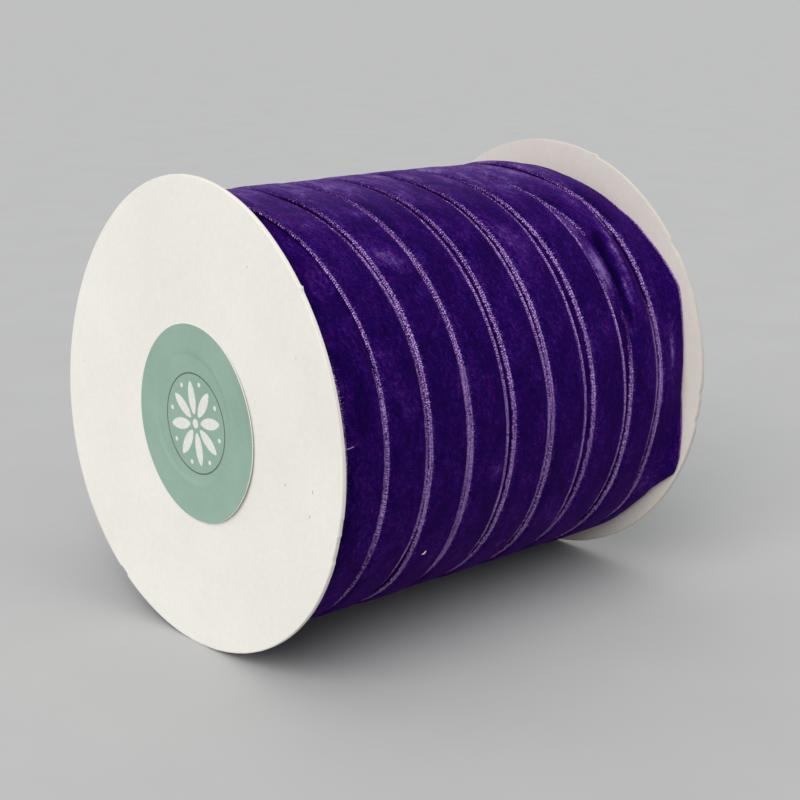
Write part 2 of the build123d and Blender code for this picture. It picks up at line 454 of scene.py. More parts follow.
VELVET = velvet_material()
RIBBON = ribbon_material()
BOARD = board_material("white_board", (0.852, 0.831, 0.777), (0.768, 0.745, 0.686))
# painted shade: the cut edge is coloured darker than the face to tone down the light on the rim
BOARD_EDGE = board_material("board_edge", (0.785, 0.762, 0.700), (0.705, 0.678, 0.610), True)
# painted shade: a darker, warmer copy of the white board stands in for the shade on the rear flange's inner face
BOARD_IN_PAINTED_SHADE = board_material("white_board_rear_painted_shade", (0.790, 0.735, 0.680), (0.715, 0.655, 0.595))
# painted shade: the rear flange's cut edge is coloured much darker to tone down the light on its rim
BOARD_IN_EDGE_PAINTED_SHADE = board_material("board_edge_rear_painted_shade", (0.61, 0.572, 0.520), (0.54, 0.503, 0.450), True)
KRAFT = kraft_material()
LABEL = label_material()
GLUE = glue_material()
TAPE = tape_material()
PRINT_WHITE = print_material("print_white", (0.70, 0.71, 0.66), (0.80, 0.80, 0.76))
PRINT_DARK = print_material("print_dark", (0.085, 0.10, 0.08), (0.12, 0.14, 0.11))
PAPER_BACK = print_material("paper_back", (0.62, 0.60, 0.52), (0.72, 0.70, 0.62))

for n, m in (
    ("core_tube", KRAFT),
    ("front_glue_bead", GLUE),
    ("rear_glue_bead", GLUE),
    ("start_tape", TAPE),
):
    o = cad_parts[n]
    for s in o.material_slots:
        s.material = m


# ---------------------------------------------------------------- flanges
def lean(phi, r):
    """How far the front flange's board stands from flat, along +X: it has warped by up to 1.6 mm."""
    a = (-np.asarray(phi, float) - 11.96) * RAD
    w = (
        0.0238 * np.cos(a)
        - 0.012 * np.sin(a)
        + 0.0123 * np.cos(2 * a)
        + 0.016 * np.sin(2 * a)
        - 0.0005 * np.cos(3 * a)
        + 0.0022 * np.sin(3 * a)
    )
    return w * R * (np.asarray(r, float) / R) ** 2


def flange(name, node_name, x_out, x_in, bend, rim, mats, seed):
    """A die-cut board disc from its outer face x_out to its inner face x_in. rim(phi) is the cut edge's departure from round."""
    n = 720
    phi = np.arange(n) * 360 / n
    t = abs(x_in - x_out)
    sgn = 1 if x_in > x_out else -1
    rings = [12.7, 12.78, 13.0, 14, 16, 19, 23, 27, 31, 35, 38.5, 41.5, 43.2, 44.2, 44.6, 44.8]
    rows, face_kind = [], []
    edge_r = 45.0 + rim(phi) / MM

    def ring(rr, depth, wob=0.0):
        r = rr * MM
        x = x_out + sgn * depth + bend(phi, r)
        return place(x, phi, r)

    # front face from the hole outwards, over the rim, and back along the inner face
    for k, rr in enumerate(rings):
        q = np.full(n, rr)
        if rr > 44:
            q = np.minimum(q, edge_r - (45.0 - rr))
        d = 0.06 * MM if k == 0 else 0.0
        rows.append(ring(q, d))
    cut = fbm(np.stack([np.cos(phi * RAD), np.sin(phi * RAD), phi * 0], -1) * 0.045, 0.0011, 3, seed)
    rows.append(ring(edge_r - 0.10, 0.02 * MM))
    rows.append(ring(edge_r - 0.02 + 0.03 * cut, 0.09 * MM))
    rows.append(ring(edge_r + 0.05 * cut, 0.28 * t))
    rows.append(ring(edge_r - 0.03 - 0.05 * cut, 0.52 * t))
    rows.append(ring(edge_r + 0.06 * np.roll(cut, 40), 0.75 * t))
    rows.append(ring(edge_r - 0.04 + 0.03 * cut, t - 0.09 * MM))
    rows.append(ring(edge_r - 0.12, t - 0.02 * MM))
    first_edge = len(rings) - 1
    last_edge = len(rows) - 1
    for k, rr in enumerate(rings[::-1]):
        q = np.full(n, rr)
        if rr > 44:
            q = np.minimum(q, edge_r - (45.0 - rr))
        d = t - (0.06 * MM if k == len(rings) - 1 else 0.0)
        rows.append(ring(q, d))
    V = np.stack(rows, 0)
    nr = len(rows)
    faces = grid_faces(nr, n, wrap_rows=True, wrap_cols=True, flip=(sgn < 0))
    row_of = np.repeat(np.arange(nr), n)
    fm = ((row_of >= first_edge) & (row_of <= last_edge)) | (row_of == nr - 1)
    fm = fm.astype(int)
    if len(mats) > 2:
        fm[(row_of > last_edge) & (row_of < nr - 1)] = 2
    o = make(name, V.reshape(-1, 3), faces, True, mats=mats, face_mat=fm)
    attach(o, "spool")
    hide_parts(node_name)
    return o


def rim_front(phi):
    d = 0.05 * MM * fbm(place(0, phi, 0.045), 0.006, 3, 3)
    # steps where the die tore the board, and a loose tag near the top
    d = d - 0.12 * MM * smooth((phi - 100.2) / 0.6) * (1 - smooth((phi - 104.0) / 0.6))
    d = d - 0.20 * MM * smooth((phi - 104.6) / 0.5) * (1 - smooth((phi - 111.2) / 0.8))
    d = d - 0.35 * MM * smooth((phi - 211.5) / 0.5) * (1 - smooth((phi - 214.2) / 1.5))
    d = d + 0.42 * MM * bell(phi, 48.6, 0.33)
    return d


def rim_rear(phi):
    d = 0.06 * MM * fbm(place(0, phi, 0.045), 0.007, 3, 8)
    d = d + 0.30 * MM * bell(phi, 17.7, 0.7) - 0.12 * MM * bell(phi, 19.6, 1.0)
    d = d - 0.34 * MM * smooth((phi - 51.2) / 1.2) * (1 - smooth((phi - 53.0) / 4.5))
    d = d - 0.30 * MM * bell(phi, 93.1, 0.9) - 0.35 * MM * bell(phi, 100.8, 0.8) - 0.2 * MM * bell(phi, 97.2, 2.2)
    return d


front = flange("front_board", "front_flange", XF, XIF, lean, rim_front, (BOARD, BOARD_EDGE), 5)
# the rear flange's inner face and cut edge take the painted-shade copies of the board
rear = flange("rear_board", "rear_flange", XR, XIR, lambda p, r: 0 * np.asarray(r), rim_rear, (BOARD, BOARD_IN_EDGE_PAINTED_SHADE, BOARD_IN_PAINTED_SHADE), 9)


# ---------------------------------------------------------------- ribbon tracks
def unit_pos(s):
    return np.asarray(s, float) / 650.16 - 0.05


def row_phi(r):
    return -20 + np.asarray(r, float) * 0.15455


# middle of each turn's left selvedge, by how far round the camera-side it is
LEFT = {
    2: [(200, 128), (240, 142), (280, 156), (320, 168), (360, 179), (440, 194), (520, 207), (600, 212), (680, 214), (760, 215), (840, 216), (920, 212), (1000, 209)],
    3: [(160, 268), (200, 286), (240, 300), (280, 311), (360, 327), (440, 339), (520, 347), (600, 352), (680, 354), (760, 358), (840, 360), (920, 366), (1000, 376)],
    4: [(160, 424), (200, 436), (240, 446), (280, 455), (360, 468), (440, 474), (520, 483), (600, 491), (680, 498), (760, 502), (840, 507), (920, 512), (1000, 520)],
    5: [(160, 568), (200, 582), (240, 596), (280, 608), (360, 621), (440, 627), (520, 634), (600, 643), (680, 653), (760, 655), (840, 658), (920, 662), (1000, 667)],
    6: [(160, 724), (200, 739), (240, 751), (280, 762), (360, 773), (440, 780), (520, 784), (600, 789), (680, 797), (760, 800), (840, 804), (920, 811), (1000, 827)],
    7: [(160, 874), (200, 889), (240, 904), (280, 918), (360, 931), (440, 944), (520, 948), (600, 956), (680, 960), (760, 965), (840, 966), (920, 969), (1000, 975)],
    8: [(160, 996), (200, 1006), (240, 1021), (280, 1039), (320, 1064), (360, 1091), (400, 1113), (440, 1122), (520, 1124), (600, 1121), (680, 1116), (760, 1113), (840, 1116), (920, 1124), (1000, 1128)],
    9: [(160, 1160), (200, 1170), (240, 1182), (280, 1199), (320, 1210), (360, 1219), (440, 1232), (520, 1236), (600, 1240), (680, 1243), (760, 1239), (840, 1238), (920, 1255), (1000, 1282)],
}
HALF = 65.5  # half the distance between the two selvedges' middles, in the table's units

knots_a, knots_s = [], []
for a_, s_ in ((-60, 142), (-10, 134), (18, 136), (40, 142), (60, 148), (72, 152), (104, 152), (135, 146)):
    knots_a.append(a_)
    knots_s.append(float(unit_pos(s_)))
for k in range(2, 10):
    for r_, p_ in LEFT[k]:
        knots_a.append(360 * (k - 1) + float(row_phi(r_)))
        # the table places the selvedges at the pile's height; they lie lower, so further back
        lower = (10.0 if k == 2 else 7.0) * math.sin(float(row_phi(r_)) * RAD)
        knots_s.append(float(unit_pos(p_ + HALF + lower)))
END_S = float((XIR - XF) / R - 4.95 / 45 - 0.004)
for a_, s_ in ((2880 + 148, 2.0), (2880 + 165, 1.985), (2880 + 182, 1.955), (2880 + 200, END_S), (2880 + 240, END_S), (2880 + 300, END_S)):
    knots_a.append(a_)
    knots_s.append(s_)

STEP = 0.95
A0, A_ROOT, A_TIP = -60.0, 2880 + 240.0, 2880 + 300.0
A = np.arange(A0, A_TIP + 1e-6, STEP)
A_dense = np.arange(A0 - 40, A_TIP + 40, 0.5)
C_dense = np.interp(A_dense, knots_a, knots_s)
kern = np.exp(-0.5 * (np.arange(-24, 25) * 0.5 / 4.0) ** 2)
kern /= kern.sum()
C_s = np.convolve(np.pad(C_dense, 24, mode="edge"), kern, mode="valid")
CENTRE = np.interp(A, A_dense, C_s)


def pack_radius(phi):
    """Radius of the pile's top over the wound pack, in metres: it sags a little, so it's larger underneath."""
    return (41.85 - 0.5 * np.cos(np.asarray(phi) * RAD)) * MM


# radius where the last turn meets the rear flange, in flange radii
EDGE_A = [-40, 4, 34, 46, 58, 64, 70, 76, 82, 88, 94, 100, 106, 112, 118, 124, 130, 142, 160, 200, 320]
EDGE_R = [0.870, 0.882, 0.876, 0.896, 0.932, 0.950, 0.930, 0.912, 0.900, 0.893, 0.895, 0.914, 0.941, 0.966, 0.984, 0.968, 0.944, 0.920, 0.925, 0.93, 0.86]

# the ribbon's section: across its width, and above its underside, in mm
HALF_TOP = [
    (4.95, 0.17), (4.87, 0.37), (4.68, 0.43), (4.52, 0.35), (4.35, 0.43), (4.20, 0.41),
    (4.10, 0.53), (3.94, 0.73), (3.68, 0.87), (3.15, 0.935), (2.3, 0.955), (1.15, 0.95),
]
TOP = [(-u, h) for u, h in HALF_TOP] + [(0.0, 0.955)] + HALF_TOP[::-1]
UNDER = [(4.93, 0.03), (2.6, 0.0), (-2.6, 0.0), (-4.93, 0.03)]
SEC = np.array(TOP + UNDER)
# the right-hand selvedge shows a little wider than the left
SEC[(SEC[:, 0] > 3.6) & (SEC[:, 0] < 4.3), 0] -= 0.14
N_TOP = len(TOP)
PILE = 0.95 * MM


def curl(base_x, limit, rc, side):
    """Where a strip that would pass limit bends down along it instead: x, drop and turn of the surface."""
    d = (limit + rc - base_x) if side < 0 else (base_x - (limit - rc))
    a = np.clip(d / rc, 0, math.pi / 2)
    over = np.clip(d - rc * math.pi / 2, 0, None)
    bent = d > 0
    x_new = limit + rc - rc * np.sin(a) if side < 0 else limit - rc + rc * np.sin(a)
    drop = rc * (1 - np.cos(a)) + over
    return np.where(bent, x_new, base_x), np.where(bent, drop, 0), np.where(bent, a, 0) * side


def ribbon_surface(A, U, H, centre):
    """Points of the ribbon at unrolled angles A (rows) and section points U, H (columns), all in mm and degrees."""
    A, centre = A[:, None], centre[:, None]
    turn = np.floor((A + 180) / 360) + 1
    phi = A - 360 * (turn - 1)
    u = U[None, :] * MM + 0 * A
    h = H[None, :] * MM + 0 * A
    cx = along(centre)
    q = place(cx + u, A * 1.0, 0.0419)
    qq = q.copy()
    # wander of the edges and unevenness of the winding
    wand = 0.10 * MM * vnoise(np.stack([A * 0 + 3, A * 0.00012, turn], -1), 0.0011, 4)
    cx = cx + wand
    last = A > 2880 - 180
    # squeeze against the rear flange in the last turn
    room = XIR - 0.06 * MM - cx
    tight = np.clip(room / (4.95 * MM), 0.80, 1.0)
    x = cx + np.where((u > 0) & last & (phi < 122), u * tight, u)
    # radius of the underside
    rho = pack_radius(phi) + 0.10 * MM * fbm(qq, 0.022, 2, 5) + 0.05 * MM * fbm(qq, 0.007, 2, 6)
    rho = rho + 0.10 * MM * np.sin(turn * 2.4 + 1.0)
    # each turn's left side rides on the turn before it
    um = u / MM
    rho = rho - 0.006 * MM * um
    nxt = np.interp(A + 360, A_dense, C_s, right=9.0)
    prv = np.interp(A - 360, A_dense, C_s, left=-9.0)
    over_r = np.clip((centre - nxt) * 45 + 9.9, 0, 2.5)
    over_l = np.clip((prv - centre) * 45 + 9.9, 0, 2.5)
    x = x - np.where(turn == 8, over_r * 0.8 * MM * smooth(um / 4.9) * smooth((phi + 10) / 40) * (1 - smooth((phi - 118) / 20)), 0)
    side_r = smooth((um - (4.95 - over_r - 1.2)) / 1.2)
    side_l = smooth((-um - (4.95 - over_l - 1.2)) / 1.2)
    rho = rho - np.where(over_r > 0.02, side_r * (0.07 * MM + 0.30 * MM * over_r), 0)
    rho = rho + np.where(over_l > 0.02, side_l * (0.03 * MM + 0.12 * MM * over_l), 0)
    # first turn lies lower, against the leaning front flange
    first = smooth((78 - A) / 40)
    rho = rho - 0.06 * MM * (A < 200) - first * 1.15 * MM - smooth((-8 - A) / 40) * 2.0 * MM
    # last turn: slope to the flange, then the climb over the turn before it
    er = np.interp(np.where(last, phi, 0), EDGE_A, EDGE_R) * R
    climb = smooth((A - (2880 + 150)) / 44)
    w_edge = smooth((u / MM + 3.5) / 8.4) ** 1.2
    er = er + (0.60 + 0.5 * bell(phi, 118, 5)) * MM
    rho = rho + np.where(last, (er - pack_radius(phi)) * w_edge * (1 - climb), 0)
    rho = rho - 0.5 * MM * ((A > 2520 - 60) & (A < 2520 + 60)) * bell(phi, -4, 16)
    rho = rho + climb * 1.0 * MM
    # eighth turn: buckled, its left half falls into the gap beside it
    eighth = (A > 2520 + 10) & (A < 2520 + 100)
    wf = np.where(eighth, smooth((phi - 40.5) / 10) * (1 - smooth((phi - 60) / 13)), 0)
    rho = rho + wf * 0.55 * MM * np.exp(-0.5 * ((u / MM + 0.9) / 1.3) ** 2)
    rho = rho - wf * 1.5 * MM * smooth((-1.1 - u / MM) / 3.6)
    # the pile ends raggedly, tuft by tuft
    rag = _T[(np.arange(A.size)[:, None] * 7 + (np.arange(U.size)[None, :] // 2) * 131) & 4095] - 0.5
    lip = bell(np.abs(um), 3.95, 0.17)
    x = x + rag * 0.13 * MM * lip
    h = h + rag * 0.06 * MM * bell(np.abs(um), 3.85, 0.35)
    rim8 = wf * np.where(u < 0, 1.0, 0)
    # near the eighth turn's start the ribbon lies slightly twisted
    tw = np.where((A > 2520 - 10) & (A < 2520 + 60), bell(phi, 22, 16), 0)
    rho = rho + tw * 0.25 * MM * (u / MM / 5)
    base = rho - PILE
    # bends at the two flanges and at the eighth turn's left edge
    drop = np.zeros_like(x)
    ang = np.zeros_like(x)
    lim_f = XIF + lean(phi, base) + 0.12 * MM + PILE * 0.9 + 0 * x
    low = A < 360 - 180
    x1, d1, a1 = curl(x, lim_f, 1.3 * MM, -1)
    x, drop, ang = np.where(low, x1, x), np.where(low, d1, drop), np.where(low, a1, ang)
    lim_r = XIR - 0.12 * MM - PILE * 0.9
    bend_r = last & (phi > 112)
    wr = smooth((phi - 112) / 14) * (1 - climb)
    x1, d1, a1 = curl(x, lim_r, 1.3 * MM, 1)
    x = np.where(bend_r, x + (x1 - x) * wr, x)
    drop = np.where(bend_r, d1 * wr, drop)
    ang = np.where(bend_r, a1 * wr, ang)
    fold_at = np.interp(phi, [41, 46.5, 50, 55, 60, 66, 71, 76], [1090, 1126, 1138, 1137, 1131, 1122, 1112, 1080])
    lim8 = along(unit_pos(fold_at)) + 0.3 * MM
    x1, d1, a1 = curl(x, lim8, 0.75 * MM, -1)
    w8 = np.where(eighth, smooth((phi - 40) / 6) * (1 - smooth((phi - 69) / 5)), 0)
    x = x + (x1 - x) * w8
    drop = drop + d1 * w8
    ang = ang + a1 * w8
    r = base - drop + h * np.cos(ang)
    x = x + h * np.sin(ang)
    x = np.minimum(x, XIR - 0.03 * MM)
    x = np.maximum(x, XIF + lean(phi, r) + 0.03 * MM)
    return place(x, A, r), phi, turn


def crush_and_painted_light(A, phi, turn, U):
    """Where the pile is crushed lighter (positive) or darker (negative), with painted light and shade added: lighter
    over the top of the pack, darker below the shoulder, a painted highlight on the eighth turn's fold ridge and a
    painted shadow in its crease.
    """
    s = np.interp(A, A_dense, C_s) * 1.0
    track_u = (s + 0.05) * 650.16 + U * (71.5 / 4.95)
    row = (phi + 20) / 0.15455
    out = np.zeros_like(phi + U)

    def spot(track_u0, r0, sx, sr, amp, slope=0.0):
        return amp * np.exp(-0.5 * (((track_u - track_u0 - slope * (row - r0)) / sx) ** 2 + ((row - r0) / sr) ** 2))

    out = out + spot(425, 288, 16, 10, 0.5, -1.2) + spot(408, 292, 14, 10, 0.35, 0.8)
    out = out + spot(390, 398, 26, 16, 0.9, 0.9)
    out = out + spot(228, 300, 30, 14, 0.5)
    out = out + spot(830, 395, 30, 26, 0.7, 0.3) + spot(826, 462, 22, 24, 0.45)
    out = out + spot(602, 785, 22, 11, 0.8) + spot(520, 850, 10, 16, 0.3)
    out = out + spot(745, 975, 26, 7, 0.6, 0.6) + spot(160, 938, 30, 8, 0.35)
    out = out + spot(985, 610, 22, 14, 0.25) + spot(1035, 590, 9, 12, 0.5)
    # painted highlight along the ridge of the eighth turn's fold
    out = out + spot(1181, 430, 8, 30, 1.35, -0.2) + spot(1168, 510, 8, 36, 1.25, -0.22)
    out = out + spot(1300, 655, 8, 30, 1.1) + spot(945, 275, 20, 25, 0.35)
    out = out + spot(440, 468, 26, 9, 0.35) + spot(118, 680, 40, 4, 0.3)
    out = out + spot(1284, 930, 12, 22, 0.5)
    out = out + spot(1136, 262, 13, 26, 0.5, 0.35) + spot(1158, 335, 12, 30, 0.6, 0.35) + spot(1110, 200, 44, 24, 0.3)
    # painted shadow in the crease of the eighth turn's fold
    out = out - 1.1 * np.exp(-0.5 * (((track_u - 1146) / 7) ** 2)) * smooth((row - 395) / 25) * (1 - smooth((row - 575) / 30))
    # painted light: the pile is drawn lighter towards the top of the pack, and painted shade darkens it below the
    # shoulder
    out = out + 0.72 * smooth((38 - np.abs(phi + 8)) / 34) - np.where(turn < 9, 0.13, 0.03) * bell(phi, 75, 30)
    return out


def strip_object(name, A, cut=None):
    centre = np.interp(A, A_dense, C_s)
    Ac = A
    P, phi, turn = ribbon_surface(Ac, SEC[:, 0], SEC[:, 1], centre)
    nr, nc = P.shape[:2]
    U = SEC[:, 0][None, :] + 0 * A[:, None]
    V = A[:, None] * RAD * 41.85 + 0 * U
    # the second turn's left selvedge is a narrow one
    U = U + np.where((turn == 2) & (U < 0), 0.26, 0)
    if cut is not None:
        # the free end is cut at a slant: the last rows lean
        w = smooth((A[:, None] - (cut - 9)) / 9)
        shift = (SEC[:, 0][None, :] / 4.95) * 1.6 * w
        A2 = A[:, None] + shift * 0.0
        ang = -shift * RAD
        y, z = P[..., 1].copy(), P[..., 2] - ZC
        P[..., 1] = y * np.cos(ang) - z * np.sin(ang)
        P[..., 2] = ZC + y * np.sin(ang) + z * np.cos(ang)
    tone = crush_and_painted_light(A[:, None], phi, turn, U)
    # painted light: lift is highest over the top of the pack, where the pile is drawn lighter and greyer
    lift = smooth((42 - np.abs(phi + 8)) / 44) * np.ones_like(U)
    # painted shade: the selvedges are darkened over the top of the pack, and the eighth turn's left selvedge more where
    # it dips into the gap
    painted_selvedge_shade = 0.62 * lift + 0.30 * smooth((66 - np.abs(phi + 8)) / 45)
    painted_selvedge_shade = painted_selvedge_shade + np.where((turn == 8) & (U < -3.9), 0.7 * smooth((phi - 36) / 12) * (1 - smooth((phi - 74) / 12)), 0)
    data = {"tone": tone, "lift": lift, "painted_selvedge_shade": painted_selvedge_shade}
    faces = grid_faces(nr, nc, wrap_cols=True, flip=True)
    verts = P.reshape(-1, 3)
    ends = [list(range(nc)), [(nr - 1) * nc + k for k in range(nc)][::-1]]
    o = make(name, verts, faces.tolist() + ends, True, uvs=np.stack([U, V], -1).reshape(-1, 2), attrs=data, mats=(RIBBON,))
    return o


A_fix = A[A <= A_ROOT + 1e-6]
A_free = A[A >= A_ROOT - 1e-6]
ribbon = strip_object("ribbon_wound", A_fix)
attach(ribbon, "spool")
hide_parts("ribbon_top_layer", "ribbon_last_lap")

tail = strip_object("ribbon_free_end", A_free, cut=A_TIP)
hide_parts("ribbon_tail")
hinge_phi = 240.0
h0 = place(0.0407, hinge_phi, 0.0428)
h1 = place(0.0407, hinge_phi + 17, 0.0428)
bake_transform(tail)


# ---------------------------------------------------------------- buried layers
def pack_body():
    n = 360
    phi = np.arange(n) * 360.0 / n
    ph = np.where(phi > 180, phi - 360, phi)
    xs = np.linspace(0, 1, 93)
    rows = []
    tone_rows, uv_rows = [], []
    x0 = XIF + 0.15 * MM
    x1 = XIR - 0.10 * MM
    r_core = 14.86 * MM
    base = pack_radius(ph) - PILE - 0.12 * MM
    # inner edge at the front, up the front side, along the top, down the rear side
    def row(x, r, tone=0.0):
        xx = np.maximum(x, XIF + lean(ph, r) + 0.15 * MM)
        rows.append(place(xx, phi, r))
        tone_rows.append(tone + 0 * phi)
        uv_rows.append(np.stack([(xx - XIF) / MM, phi * RAD * 40.0], -1))
    row(x0 + 0 * phi, r_core + 1.4 * MM + 0 * phi)
    for f in np.linspace(0.15, 1, 10):
        rr = r_core + (base - 4.2 * MM - r_core) * f
        row(x0 + 0 * phi, rr + 0.06 * MM * np.sin(f * 40))
    for xf in xs:
        x = x0 + (x1 - x0) * xf
        df, dr = (x - x0) / (5.5 * MM), (x1 - x) / (5.5 * MM)
        taper = 4.2 * MM * (np.clip(1 - df, 0, 1) ** 1.5 + np.clip(1 - dr, 0, 1) ** 1.5)
        p = place(x, phi, 0.04)
        # the turn beneath shows through the gap beside the eighth turn, pushed up at one place, and a painted highlight
        # lightens it where it rises
        s = (x - XF) / R
        track_u = (s + 0.05) * 650.16
        rw = (ph + 20) / 0.15455
        lump = 0.95 * MM * np.exp(-0.5 * (((track_u - 1095) / 13) ** 2 + ((rw - 468) / 40) ** 2))
        lump = lump + 0.35 * MM * np.exp(-0.5 * (((track_u - 1078) / 26) ** 2 + ((rw - 370) / 45) ** 2))
        # painted highlight on the raised turn beneath, passed to the tone attribute
        gap_painted_highlight = 1.95 * np.exp(-0.5 * (((track_u - 1105) / 15) ** 2 + ((rw - 476) / 30) ** 2))
        gap_painted_highlight = gap_painted_highlight + 0.7 * np.exp(-0.5 * (((track_u - 1080) / 26) ** 2 + ((rw - 370) / 50) ** 2))
        row(x + 0 * phi, base - taper + lump + 0.06 * MM * fbm(p, 0.006, 2, 21), gap_painted_highlight)
    for f in np.linspace(1, 0.15, 10):
        rr = r_core + (base - 4.2 * MM - r_core) * f
        row(x1 + 0 * phi, rr + 0.06 * MM * np.sin(f * 40))
    row(x1 + 0 * phi, r_core + 1.4 * MM + 0 * phi)
    row(x1 - 1.4 * MM + 0 * phi, r_core + 0 * phi)
    row(x0 + 1.4 * MM + 0 * phi, r_core + 0 * phi)
    V = np.stack(rows, 0)
    nr = len(rows)
    faces = grid_faces(nr, n, wrap_rows=True, wrap_cols=True)
    return make("pack_body", V.reshape(-1, 3), faces, True, uvs=np.stack(uv_rows, 0).reshape(-1, 2), attrs={"tone": np.stack(tone_rows, 0)}, mats=(VELVET,))


body = pack_body()
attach(body, "spool")
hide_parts("ribbon_inner_layers")


# ---------------------------------------------------------------- sticker
LY = (l_lo[1] + l_hi[1]) / 2
LZ = (l_lo[2] + l_hi[2]) / 2
LT = 0.15 * MM


def on_flange(y, z, lift):
    """A point lift outside the front flange's warped outer face."""
    dy, dz = y, z - ZC
    r = np.hypot(dy, dz)
    phi = np.degrees(np.arctan2(-dy, dz))
    # the paper dips where it spans the hole
    dip = 0.10 * MM * (1 - smooth((r - 11.9 * MM) / (1.1 * MM))) - 0.05 * MM * bell(r, 12.95 * MM, 0.35 * MM)
    return np.stack([XF + lean(phi, r) - lift + dip, y, z], -1)


def sticker():
    n = 288
    a = np.arange(n) * 2 * math.pi / n
    # a punched circle, a little flat at the lower left
    rr = 18.9 * MM - 0.22 * MM * bell(((np.degrees(a) - 215 + 180) % 360) - 180, 0, 18) + 0.03 * MM * np.sin(3 * a + 1)
    rings = [0.0005, 0.1, 0.2, 0.3, 0.4, 0.5, 0.56, 0.60, 0.62, 0.64, 0.655, 0.67, 0.685, 0.70, 0.72, 0.76, 0.82, 0.88, 0.93, 0.965, 0.985, 0.995, 1.0]
    rows = []
    # the lower-right edge has let go of the board
    deg = np.degrees(a)
    away = bell(((deg - 318 + 180) % 360) - 180, 0, 26) + 0.5 * bell(((deg - 20 + 180) % 360) - 180, 0, 22)
    for side in (0, 1):
        seq = rings if side == 0 else rings[::-1]
        for q in seq:
            # angle a = 0 is towards -Y (to the right when it's faced), 90 is up
            y = LY - rr * q * np.cos(a)
            z = LZ + rr * q * np.sin(a)
            lift = 0.02 * MM + (LT - 0.02 * MM) * (1 - side) + 0.55 * MM * away * smooth((q - 0.86) / 0.14) ** 1.5
            if side == 0 and q >= 0.995:
                lift = lift - (0.03 * MM if q == 1.0 else 0.0)
            rows.append(on_flange(y, z, lift))
    V = np.stack(rows, 0)
    nr = len(rows)
    faces = grid_faces(nr, n, wrap_cols=True, flip=True)
    row_of = np.repeat(np.arange(nr - 1), n)
    fm = np.zeros(len(row_of), int)
    fm[row_of >= len(rings)] = 2
    fm[(row_of >= len(rings) - 2) & (row_of < len(rings))] = 1
    caps = [list(range(n)), [(nr - 1) * n + k for k in range(n)][::-1]]
    return make("round_sticker", V.reshape(-1, 3), faces.tolist() + caps, True, mats=(LABEL, PRINT_WHITE, PAPER_BACK), face_mat=list(fm) + [0, 2])


label = sticker()
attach(label, "spool")
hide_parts("front_label")


def flat_shape(loops, fine=0.6 * MM):
    """Flat printed patches on the sticker. loops are outlines of (right, up) points in mm about the sticker's middle."""
    import bmesh

    bm = bmesh.new()
    for outer in loops:
        vs = [bm.verts.new((0, -x * MM, y * MM)) for x, y in outer]
        bm.faces.new(vs)
    bmesh.ops.triangulate(bm, faces=bm.faces[:])
    for _ in range(3):
        long = [e for e in bm.edges if e.calc_length() > 1.6 * MM]
        if not long:
            break
        bmesh.ops.subdivide_edges(bm, edges=long, cuts=1)
        bmesh.ops.triangulate(bm, faces=bm.faces[:])
    co = np.array([v.co for v in bm.verts])
    fs = [[v.index for v in f.verts] for f in bm.faces]
    bm.verts.index_update()
    fs = [[v.index for v in f.verts] for f in bm.faces]
    bm.free()
    y, z = co[:, 1] + LY, co[:, 2] + LZ
    P = on_flange(y, z, LT + 0.012 * MM)
    tops = []
    for f in fs:
        a, b, c = (P[i] for i in f)
        tops.append(f if np.cross(b - a, c - a)[0] < 0 else f[::-1])
    # a film of ink with a back and a rim, sunk in the paper
    n = len(P)
    used = {}
    for f in tops:
        for a, b in zip(f, f[1:] + f[:1]):
            used[(a, b)] = used.get((a, b), 0) + 1
    out = list(tops) + [[i + n for i in f[::-1]] for f in tops]
    out += [[b, a, a + n, b + n] for (a, b) in used if (b, a) not in used]
    return np.concatenate([P, on_flange(y, z, LT - 0.02 * MM)]), out


def ring_loops(r0, r1, n=96, a0=0, a1=360):
    loops = []
    for k in range(n):
        a, b = (a0 + (a1 - a0) * k / n) * RAD, (a0 + (a1 - a0) * (k + 1) / n) * RAD
        loops.append([(r0 * math.cos(a), r0 * math.sin(a)), (r1 * math.cos(a), r1 * math.sin(a)), (r1 * math.cos(b), r1 * math.sin(b)), (r0 * math.cos(b), r0 * math.sin(b))])
    return loops


def petal(cx, cy, length, width, deg, n=14):
    pts = []
    for k in range(n):
        t = k / n
        a = 2 * math.pi * t
        lx, ly = 0.5 * length * math.cos(a), 0.5 * width * math.sin(a) * (abs(math.sin(a)) ** 0.35)
        c, s = math.cos(deg * RAD), math.sin(deg * RAD)
        pts.append((cx + lx * c - ly * s, cy + lx * s + ly * c))
    return pts


def printed(name, loops, mat):
    P, f = flat_shape(loops)
    o = make(name, P, f, False, mats=(mat,))
    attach(o, "spool")
    return o


# a plain geometric rosette and ring
rosette = []
for k in range(8):
    d = 45 * k + 11
    rosette.append(petal(4.9 * math.cos(d * RAD), 4.9 * math.sin(d * RAD), 6.4, 2.3, d))
    rosette.append(petal(7.9 * math.cos((d + 22.5) * RAD), 7.9 * math.sin((d + 22.5) * RAD), 0.95, 0.95, d, 12))
rosette.append(petal(0, 0, 1.9, 1.9, 0, 18))
printed("print_rosette", rosette, PRINT_WHITE)
printed("print_ring", ring_loops(9.45, 9.72, 120), PRINT_DARK)


